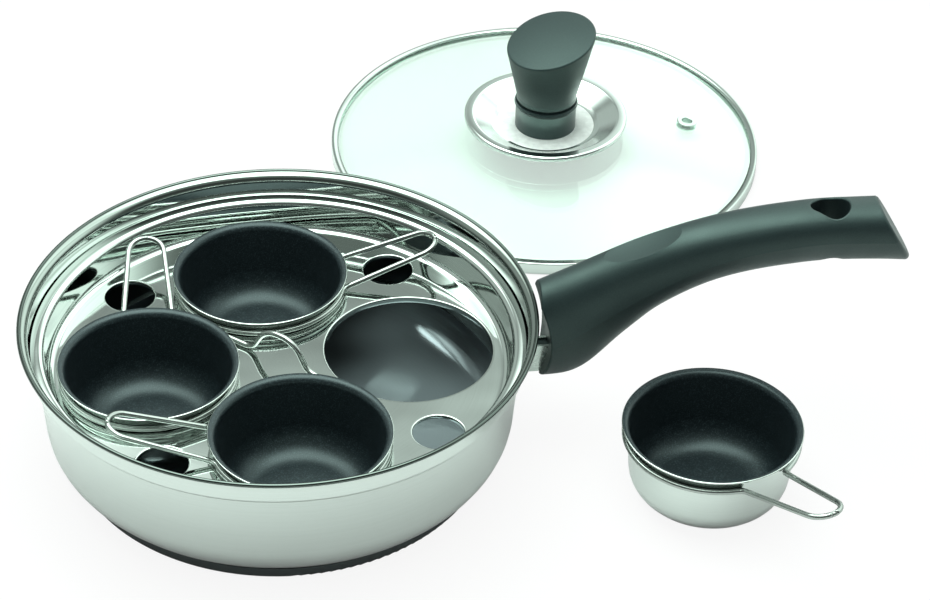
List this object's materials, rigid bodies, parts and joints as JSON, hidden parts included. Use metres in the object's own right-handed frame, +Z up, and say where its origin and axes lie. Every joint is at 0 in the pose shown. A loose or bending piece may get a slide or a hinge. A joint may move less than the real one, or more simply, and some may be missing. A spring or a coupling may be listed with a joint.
{
  "type": "egg poacher pan",
  "caption": "Round steel pan with a long curved handle, a drop-in tray of egg cups with wire loops, and a glass lid with a flared knob standing beside it.",
  "frame": {"origin": "centre of the pan's flat base, on the surface that everything stands on", "axes": "+Z up along the pan's axis; +X along the handle, away from the pan; the lid stands towards +Y and the loose cup towards -Y of the handle"},
  "size_m": [0.3738, 0.4352, 0.1066],
  "materials": {
    "pan_steel": "polished stainless steel with fine turning lines",
    "base_core": "plain",
    "base_steel": "satin stainless steel",
    "tray_steel": "mirror polished stainless steel",
    "wire": "bright wire",
    "cup_steel": "satin stainless steel with fine turning lines",
    "cup_coating": "dark non-stick coating, soft sheen",
    "handle_black": "moulded heat-resistant plastic, satin",
    "knob_black": "moulded heat-resistant plastic, satin",
    "lid_glass": "clear tempered glass with a faint green tint",
    "lid_steel": "polished stainless steel",
    "gasket": "pale silicone",
    "fastener": "plain steel",
    "insert_brass": "plain"
  },
  "bodies": {
    "pan": {"pan_body": "pan_steel", "base_core": "base_core", "base_cap": "base_steel", "handle_bracket": "pan_steel", "handle_grip": "handle_black", "handle_screw": "fastener"},
    "tray": {"tray_plate": "tray_steel", "tray_lifter": "wire"},
    "lid": {"lid_glass": "lid_glass", "lid_band": "lid_steel", "vent_eyelet": "lid_steel", "knob_gasket": "gasket", "knob_plate": "lid_steel", "knob_collar": "knob_black", "knob_grip": "knob_black", "knob_insert": "insert_brass", "lid_washer": "gasket", "lid_screw": "fastener"},
    "cup_1": {"cup_1_shell": "cup_steel", "cup_1_lining": "cup_coating"},
    "wire_1": {"cup_1_wire": "wire"},
    "cup_2": {"cup_2_shell": "cup_steel", "cup_2_lining": "cup_coating"},
    "wire_2": {"cup_2_wire": "wire"},
    "cup_3": {"cup_3_shell": "cup_steel", "cup_3_lining": "cup_coating"},
    "wire_3": {"cup_3_wire": "wire"},
    "cup_4": {"cup_4_shell": "cup_steel", "cup_4_lining": "cup_coating"},
    "wire_4": {"cup_4_wire": "wire"}
  },
  "joints": [
    {"name": "tray_lift", "type": "slide", "parent": "pan", "child": "tray", "axis": [0, 0, 1], "range_m": [0, 0.12]},
    {"name": "lid_lift", "type": "slide", "parent": "pan", "child": "lid", "axis": [0, 0, 1], "range_m": [0, 0.15]},
    {"name": "cup_1_lift", "type": "slide", "parent": "tray", "child": "cup_1", "axis": [0, 0, 1], "range_m": [0, 0.1]},
    {"name": "wire_1_turn", "type": "hinge", "parent": "cup_1", "child": "wire_1", "pos_m": [-0.00422, 0.05484, 0.0422], "axis": [0, 0, 1], "range_deg": [-55, 0]},
    {"name": "cup_2_lift", "type": "slide", "parent": "tray", "child": "cup_2", "axis": [0, 0, 1], "range_m": [0, 0.1]},
    {"name": "wire_2_turn", "type": "hinge", "parent": "cup_2", "child": "wire_2", "pos_m": [-0.05484, -0.00422, 0.0422], "axis": [0, 0, 1], "range_deg": [-1, 6]},
    {"name": "cup_3_lift", "type": "slide", "parent": "tray", "child": "cup_3", "axis": [0, 0, 1], "range_m": [0, 0.1]},
    {"name": "wire_3_turn", "type": "hinge", "parent": "cup_3", "child": "wire_3", "pos_m": [0.00422, -0.05484, 0.0422], "axis": [0, 0, 1], "range_deg": [-0.5, 7]},
    {"name": "cup_4_lift", "type": "slide", "parent": "pan", "child": "cup_4", "axis": [0, 0, 1], "range_m": [0, 0.1]},
    {"name": "wire_4_turn", "type": "hinge", "parent": "cup_4", "child": "wire_4", "pos_m": [0.1752, -0.052, 0.0297], "axis": [0, 0, 1], "range_deg": [-130, 180]}
  ]
}
